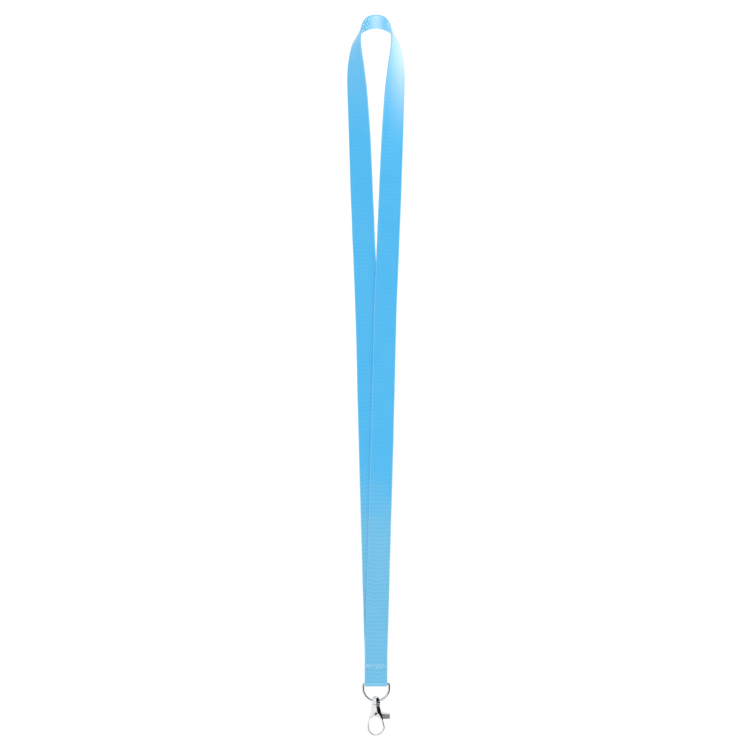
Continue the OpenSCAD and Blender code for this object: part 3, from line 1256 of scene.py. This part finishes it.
@dataclass(frozen=True)
class Egg:
    """An egg outline in the XZ plane: two circles and the straight sides that touch both."""

    low: Point
    low_radius: float
    high: Point
    high_radius: float

    def outside(self, x: float, z: float) -> float:
        """Return the distance from the outline: above 0 outside it, below 0 inside it.

        Args:
            x: The point's place across.
            z: Its height.

        Returns:
            The distance, with its sign.
        """
        up = Vector((self.high[0] - self.low[0], self.high[1] - self.low[1]))
        height = up.length
        up.normalize()
        from_low = Vector((x - self.low[0], z - self.low[1]))
        along = from_low.dot(up)
        side = abs(from_low.x * up.y - from_low.y * up.x)
        lean = (self.low_radius - self.high_radius) / height
        upright = math.sqrt(1 - lean * lean)
        reach = along * upright - side * lean
        if reach < 0:
            return math.hypot(side, along) - self.low_radius
        if reach > upright * height:
            return math.hypot(side, along - height) - self.high_radius
        return side * upright + along * lean - self.low_radius

    def hit(self, start: Point, angle: float) -> Point:
        """Return where a ray from a point inside the outline, at an angle in radians, crosses it.

        Args:
            start: A point inside the outline.
            angle: The ray's angle in radians.

        Returns:
            The crossing point.
        """
        low, high = 0.0, 40.0
        for _ in range(36):
            half = (low + high) / 2
            if self.outside(start[0] + half * math.cos(angle), start[1] + half * math.sin(angle)) < 0:
                low = half
            else:
                high = half
        return start[0] + low * math.cos(angle), start[1] + low * math.sin(angle)


@dataclass
class TriggerHook:
    """The hook's cast body and its gate. Sizes in millimetres, about the rivet."""

    bow: Egg = Egg((0, -9.3), 5.8, (0, 6.2), 2.34)
    opening: Egg = Egg((0, -9.2), 4.5, (-0.4, -6.2), 3.9)
    slot: float = 0.95
    plate: float = 0.85
    slot_top: float = 2.8
    slot_foot: float = -3.9
    neck_top: float = 4.85
    collar_top: float = 6.15
    depths: tuple[Point, ...] = (
        (-15.5, 1.5), (-7.0, 1.6), (-2.2, 2.3), (1.9, 2.3), (4.85, 2.66), (9.0, 2.66),
    )
    bore: float = 1.05
    pocket: float = 1.7
    pocket_top: float = 4.0
    rivet: float = 0.85
    rivet_face: float = 2.28
    coil_room: tuple[float, float, float] = (1.65, -1.4, 0.06)
    sunk: float = 0.2
    edge_round: float = 0.05
    edge_angle: float = 42.0
    # centre and radius of the upper and lower corner of the lever and of its sunk panel
    lever_corners: tuple[tuple[Point, float], ...] = (((8.30, -0.82), 0.92), ((8.34, -3.02), 0.88))
    panel_corners: tuple[tuple[Point, float], ...] = (((8.10, -1.36), 0.62), ((8.12, -2.94), 0.58))
    # the body's slanting end above the gate, and the nose of the bow below it
    seat: tuple[Point, ...] = ((-7, 0.66), (-4.38, -1.5), (-2.85, -2.76), (-1.6, -3.79))
    nose: tuple[Point, ...] = ((-3, -10.35), (-4.4, -9), (-5.75, -7.7), (-7, -6.5))
    columns: int = 220
    rows: int = 56
    heart: Point = (0.0, -7.6)
    crowding: Point = (0.21, 0.30)

    def _roundness(self, share: float, power: float) -> float:
        """Return the height, 0 to 1, of a rounded edge at a share of its width from the outline."""
        held = min(1.0, max(0.0, share))
        return (1 - (1 - held) ** power) ** (1 / power)

    def _depth(self, x: float, z: float) -> float:
        """Return how far the casting's surface stands from its middle plane.

        Args:
            x: The place across.
            z: The height.

        Returns:
            Half the casting's thickness there.
        """
        outer = max(0.0, -self.bow.outside(x, z))
        inner = max(0.0, self.opening.outside(x, z))
        body = ease((z + 6.0) / 5.0)
        half_width = mix(6.0, -self.bow.outside(0.0, max(z, -4.0)), body)
        band = (outer + inner) / 2
        width = 1 / (half_width ** -4 + band ** -4) ** 0.25
        power = mix(3.0, 2.15, body)
        depth = table_value(self.depths, z)
        near = self._roundness(outer / width, power)
        return depth * near * self._roundness(inner / width, mix(3.0, 2.6, body))

    def _casting(self) -> Solid:
        """Return the whole outer form of bow, body and neck, before it is cut.

        Returns:
            The form, a closed ring round the opening.
        """
        columns, rows = self.columns, self.rows
        inner: dict[int, Point] = {}
        outer: dict[int, Point] = {}
        for column in range(columns):
            angle = math.tau * column / columns
            angle += (self.crowding[0] * math.sin(2 * angle + math.pi)
                      + self.crowding[1] * math.cos(angle))
            inner[column] = self.opening.hit(self.heart, angle)
            outer[column] = self.bow.hit(self.heart, angle)

        def put(across: float, along: float) -> Vector:
            """Return a surface point: once round the opening, and once round the section.

            Args:
                across: The share of the way round the section.
                along: The share of the way round the opening.

            Returns:
                The point.
            """
            column = round(along * columns) % columns
            turn = round(across * rows) % rows / rows
            front = turn < 0.5
            share = (1 - math.cos(math.tau * turn)) / 2
            x = mix(outer[column][0], inner[column][0], share)
            z = mix(outer[column][1], inner[column][1], share)
            depth = self._depth(x, z)
            return Vector((x, -depth if front else depth, z))

        form = Solid.sheet(rows, columns, True, put)
        return form.healed(1e-3)

    def _gate_zone(self, gap: float) -> Solid:
        """Return the block between the body's slanting seat and the bow's slanting nose."""
        upper = [(x, z + gap) for x, z in self.seat]
        return Solid.slab(upper + [(x, z - gap) for x, z in self.nose], -3.5, 3.5)

    def _block(self, low: Sequence[float], high: Sequence[float]) -> Solid:
        """Return a square block between two corners."""
        outline = [(low[0], low[2]), (high[0], low[2]), (high[0], high[2]), (low[0], high[2])]
        return Solid.slab(outline, low[1], high[1])

    def _rod(self, radius: float, low: float, high: float, axis: str = "Z") -> Solid:
        """Return a round rod along Z from low to high, or along Y when asked."""
        rod = Solid.spun([(0, low), (radius, low), (radius, high), (0, high)], 64)
        return rod.turned(90, "X") if axis == "Y" else rod

    def body(self, palette: Palette, places: Places) -> None:
        """Make the body with its collar, slot, bores and the seat and nose for the gate.

        Args:
            palette: Where the materials come from.
            places: Where the joints are.
        """
        top = self._block((-8, -5, self.neck_top), (8, 5, 12))
        collar = [(0, self.neck_top - 0.6), (2.3, self.neck_top - 0.6), (2.42, self.neck_top + 0.02),
                  (2.46, self.neck_top + 0.16), (2.80, self.neck_top + 0.22), (2.92, self.neck_top + 0.38),
                  (2.95, self.neck_top + 0.62), (2.94, self.collar_top - 0.28),
                  (2.84, self.collar_top - 0.08), (2.68, self.collar_top), (0, self.collar_top)]
        hook = self._casting().cut(top).joined(Solid.spun(collar, 96))
        hook = hook.cut(self._rod(self.bore, self.pocket_top - 1, self.collar_top + 1))
        hook = hook.cut(self._rod(self.pocket, self.slot_top - 1, self.pocket_top))
        hook = hook.cut(self._block((-8, -self.slot, self.slot_foot), (8, self.slot, self.slot_top)))
        hook = hook.cut(self._gate_zone(0.14))
        hook = hook.cut(self._rod(self.rivet + 0.01, -4, 4, "Y"))
        piece = Piece("hook_casting", "hook", "plated", (Finish.PLATE,), ("hook_body",))
        piece.build(hook.softened(self.edge_round, self.edge_angle), palette, places.rivet)

    def gate(self, palette: Palette, places: Places) -> None:
        """Make the gate: the hinged side of the bow, the plate on the rivet and the thumb lever.

        Args:
            palette: Where the materials come from.
            places: Where the joints are.
        """
        arm = self._casting().crossed(self._gate_zone(-0.05))
        hub = arc((0, 0), 1.75, 60, 140, 8)
        web = [(-3.9, -1.0), (-4.15, -2.1), (-3.2, -3.1), (-2.6, -2.75), (-0.9, -1.5), (0, -1.6),
               (1.4, -2.1), (2.3, -2.7), (3.2, -3.7), (3.2, 0.9)]
        plate = Solid.slab(hub + web, -self.plate, self.plate)
        gate = self._lever().joined(plate).joined(arm)
        gate = gate.cut(self._rod(self.rivet + 0.05, -4, 4, "Y"))
        gate = gate.cut(self._rod(*self.coil_room, "Y"))
        gate = gate.cut(self._panel(-1)).cut(self._panel(1))
        piece = Piece("gate_casting", "gate", "plated", (Finish.PLATE, Finish.GRAIN), ("gate",))
        gate = gate.softened(self.edge_round, self.edge_angle)
        self._grain(gate)
        piece.build(gate, palette, places.rivet)

    def _rounded_end(self, corners: Sequence[tuple[Point, float]], steps: int) -> list[Point]:
        """Return the rounded upper and lower corner of the lever's end, or of its panel's."""
        upper, lower = corners
        return arc(*upper, 80, 4, steps) + arc(*lower, -2, -88, steps)

    def _lever(self) -> Solid:
        """Return the thumb lever, before its faces are sunk.

        Returns:
            The lever, with rounded edges.
        """
        corners = self._rounded_end(self.lever_corners, 7)
        outline = [(2.4, 0.95), (3.8, 0.86)] + corners + [(3.3, -3.86), (2.4, -2.6)]
        return Solid.slab(outline, -self.plate, self.plate).softened(0.13, 50.0, 3)

    def _panel(self, side: int) -> Solid:
        """Return the block that sinks a panel into the lever's face on one side.

        Args:
            side: -1 for the front face, 1 for the back.

        Returns:
            The block to cut away.
        """
        corners = self._rounded_end(self.panel_corners, 5)
        outline = [(3.3, 0.02), (3.8, -0.06)] + corners + [(3.3, -3.52)]
        deep, proud = self.plate - self.sunk, self.plate + 1.0
        return Solid.slab(outline, *sorted((side * deep, side * proud)))

    def _grain(self, gate: Solid) -> None:
        """Give the floor of each sunk panel the grainy finish.

        Args:
            gate: The gate, whose faces get their finish.
        """
        for face in gate.form.faces:
            middle = face.calc_center_median()
            level = abs(abs(middle.y) - (self.plate - self.sunk)) < 0.01
            if level and abs(face.normal.y) > 0.98 and middle.x > 3.2:
                face.material_index = 1

    def rivet_pin(self, palette: Palette, places: Places) -> None:
        """Make the semi-tubular rivet: a rolled rim round its hollow on the front, a low head behind.

        Args:
            palette: Where the materials come from.
            places: Where the joints are.
        """
        face = self.rivet_face
        hollow = [(0, -face + 0.55), (0.30, -face + 0.62), (0.42, -face + 0.95), (0.56, -face + 0.9),
                  (0.64, -face + 0.1)]
        roll = [(0.70, -face - 0.20), (0.80, -face - 0.32), (0.95, -face - 0.36), (1.08, -face - 0.30),
                (1.18, -face - 0.20), (1.26, -face - 0.20), (1.38, -face - 0.26), (1.52, -face - 0.18),
                (1.60, -face - 0.02), (1.58, -face + 0.05)]
        shank = [(self.rivet, -face + 0.06), (self.rivet, face - 0.06)]
        head = [(1.58, face - 0.05), (1.60, face + 0.06), (1.50, face + 0.22), (1.15, face + 0.36),
                (0.6, face + 0.43), (0, face + 0.45)]
        solid = Solid.spun(hollow + roll + shank + head, 72).turned(-90, "X")
        # the inside of the hollow gets the dark metal
        for facet in solid.form.faces:
            middle = facet.calc_center_median()
            if math.hypot(middle.x, middle.z) < 0.66 and -face - 0.02 < middle.y < 0:
                facet.material_index = 1
        finishes = (Finish.PLATE, Finish.DARK_HOLLOW_PLATE)
        piece = Piece("rivet_pin", "hook", "plated", finishes, ("gate_rivet",), crease=40.0)
        piece.build(solid, palette, places.rivet)

    def spring(self, palette: Palette) -> None:
        """Dress the gate's spring, which keeps its own shape.

        Args:
            palette: Where the materials come from.
        """
        node = frame["nodes"]["gate_spring"]
        node.data.materials.clear()
        node.data.materials.append(palette.get(Finish.SPRING))

    def build(self, palette: Palette, places: Places) -> None:
        """Make every piece of the hook.

        Args:
            palette: Where the materials come from.
            places: Where the joints are.
        """
        self.body(palette, places)
        self.gate(palette, places)
        self.rivet_pin(palette, places)
        self.spring(palette)


# ---------------------------------------------------------------- studio


@dataclass
class Studio:
    """A pale floor below the hanging lanyard, soft lights, mirrored cards and the camera. In metres."""

    distance: float = 1.5
    field: float = 0.497
    floor_gap: float = 0.03
    floor_reach: float = 8.0
    sensor: float = 36.0
    surround: float = 1.07
    hook_rise: float = 0.018

    def camera(self, low: Vector, high: Vector) -> None:
        """Place a long-lens camera level with the lanyard's middle.

        Args:
            low: The lanyard's lowest corner.
            high: Its highest corner.
        """
        data = bpy.data.cameras.new("camera")
        camera = bpy.data.objects.new("camera", data)
        bpy.context.scene.collection.objects.link(camera)
        middle = (low.z + high.z) / 2
        camera.location = (0.0, -self.distance, middle)
        camera.rotation_euler = (math.pi / 2, 0, 0)
        data.sensor_width = self.sensor
        data.lens = self.sensor * self.distance / self.field
        data.clip_start = 0.05
        data.clip_end = 30.0
        bpy.context.scene.camera = camera

    def floor(self, low: Vector) -> None:
        """Lay a wide pale floor a little below the hanging hook.

        Args:
            low: The lanyard's lowest corner.
        """
        form = bmesh.new()
        bmesh.ops.create_grid(form, x_segments=8, y_segments=8, size=self.floor_reach)
        bmesh.ops.translate(form, verts=form.verts, vec=(0, 0, low.z - self.floor_gap))
        mesh = bpy.data.meshes.new("floor")
        form.to_mesh(mesh)
        form.free()
        graph = Graph("floor_paper")
        soft = graph.noise(graph.place(), 1.5, 2.0)
        tone = graph.blend(soft, (0.94, 0.94, 0.943), (0.97, 0.97, 0.97))
        matt = {"Roughness": 0.9, "Specular IOR Level": 0.1}
        mesh.materials.append(graph.finish(matt, {"Base Color": tone}))
        floor = bpy.data.objects.new("floor", mesh)
        bpy.context.scene.collection.objects.link(floor)
        floor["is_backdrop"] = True

    def flag(self, name: str, centre: Vector, profile: Sequence[Point], span: Point, tone: float) -> None:
        """Stand a curved card round the hook, seen only as a mirrored shade in the metal.

        Args:
            name: The card's name.
            centre: The place that it curves round.
            profile: Its (distance, height) points from the centre.
            span: Its first and last angle in degrees, from the front towards the right.
            tone: Its grey, 0 for black.
        """
        form = bmesh.new()
        points = [form.verts.new((0, -reach, height)) for reach, height in profile]
        edges = [form.edges.new(pair) for pair in zip(points, points[1:])]
        start = Matrix.Rotation(math.radians(span[0]), 3, "Z")
        bmesh.ops.rotate(form, verts=form.verts, cent=(0, 0, 0), matrix=start)
        bmesh.ops.spin(form, geom=points + edges, cent=(0, 0, 0), axis=(0, 0, 1),
                       angle=math.radians(span[1] - span[0]), steps=24, use_merge=False, use_duplicate=False)
        bmesh.ops.translate(form, verts=form.verts, vec=centre)
        mesh = bpy.data.meshes.new(name)
        form.to_mesh(mesh)
        form.free()
        graph = Graph(name)
        mesh.materials.append(graph.finish({"Base Color": (tone, tone, tone, 1), "Roughness": 0.9}, {}))
        card = bpy.data.objects.new(name, mesh)
        card.visible_camera = False
        card.visible_diffuse = False
        card.visible_shadow = False
        bpy.context.scene.collection.objects.link(card)
        card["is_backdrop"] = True

    def light(
        self, name: str, place: Sequence[float], size: float, power: float, aim: Vector, spread: float = 180.0
    ) -> None:
        """Hang one soft square light that points at a place.

        Args:
            name: The light's name.
            place: Where it hangs.
            size: Its side.
            power: Its power in watts.
            aim: The place that it points at.
            spread: How wide its beam opens, in degrees.
        """
        data = bpy.data.lights.new(name, "AREA")
        data.size = size
        data.energy = power
        data.spread = math.radians(spread)
        light = bpy.data.objects.new(name, data)
        light.location = place
        light.rotation_euler = (aim - Vector(place)).to_track_quat("-Z", "Y").to_euler()
        light.visible_camera = False
        bpy.context.scene.collection.objects.link(light)

    def world(self) -> None:
        """Set an even pale surround."""
        world = bpy.data.worlds.new("surround")
        world.use_nodes = True
        shade = world.node_tree.nodes["Background"]
        shade.inputs["Color"].default_value = (1.0, 1.0, 1.0, 1.0)
        shade.inputs["Strength"].default_value = self.surround
        bpy.context.scene.world = world
        bpy.context.scene.view_settings.view_transform = "Standard"

    def build(self, low: Vector, high: Vector) -> None:
        """Set up the camera, the floor, the cards, the lights and the surround.

        Args:
            low: The lanyard's lowest corner.
            high: Its highest corner.
        """
        self.camera(low, high)
        self.floor(low)
        self.world()
        hook = Vector((0, 0, low.z + self.hook_rise))
        right = [(0.1, -0.046), (0.1, 0.06), (0.065, 0.1)]
        self.flag("flag_right", hook, profile=right, span=(5.5, 120), tone=0.0)
        self.flag("flag_high", hook, profile=[(0.09, 0.06), (0.06, 0.095)], span=(-62, -22), tone=0.02)
        behind = [(0.12, -0.046), (0.12, 0.1)]
        self.flag("flag_behind", hook, profile=behind, span=(-173, -150), tone=0.22)
        crown = Vector((0.005, 0, high.z - 0.02))
        self.light("right", place=(0.30, 0.04, high.z - 0.02), size=0.16, power=0.4, aim=crown)
        inside = Vector((0.001, 0, high.z - 0.003))
        self.light("under", place=(0.0, 0.2, high.z - 0.38), size=0.08, power=0.010, aim=inside, spread=12)


def main() -> None:
    """Build the lanyard piece by piece and set it in the studio."""
    logging.basicConfig(level=logging.INFO, format="%(name)s: %(message)s")
    cad_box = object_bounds()
    low, high = (Vector(corner) for corner in cad_box)
    palette = Palette()
    places = Places(frame["joints"])
    Studio().build(low, high)
    DRing().build(palette, places)
    webbing = Webbing()
    strap = webbing.build(palette, places)
    Seam().build(palette, places)
    SwivelEye().build(palette, places)
    TriggerHook().build(palette, places)


if __name__ == "__main__":
    main()
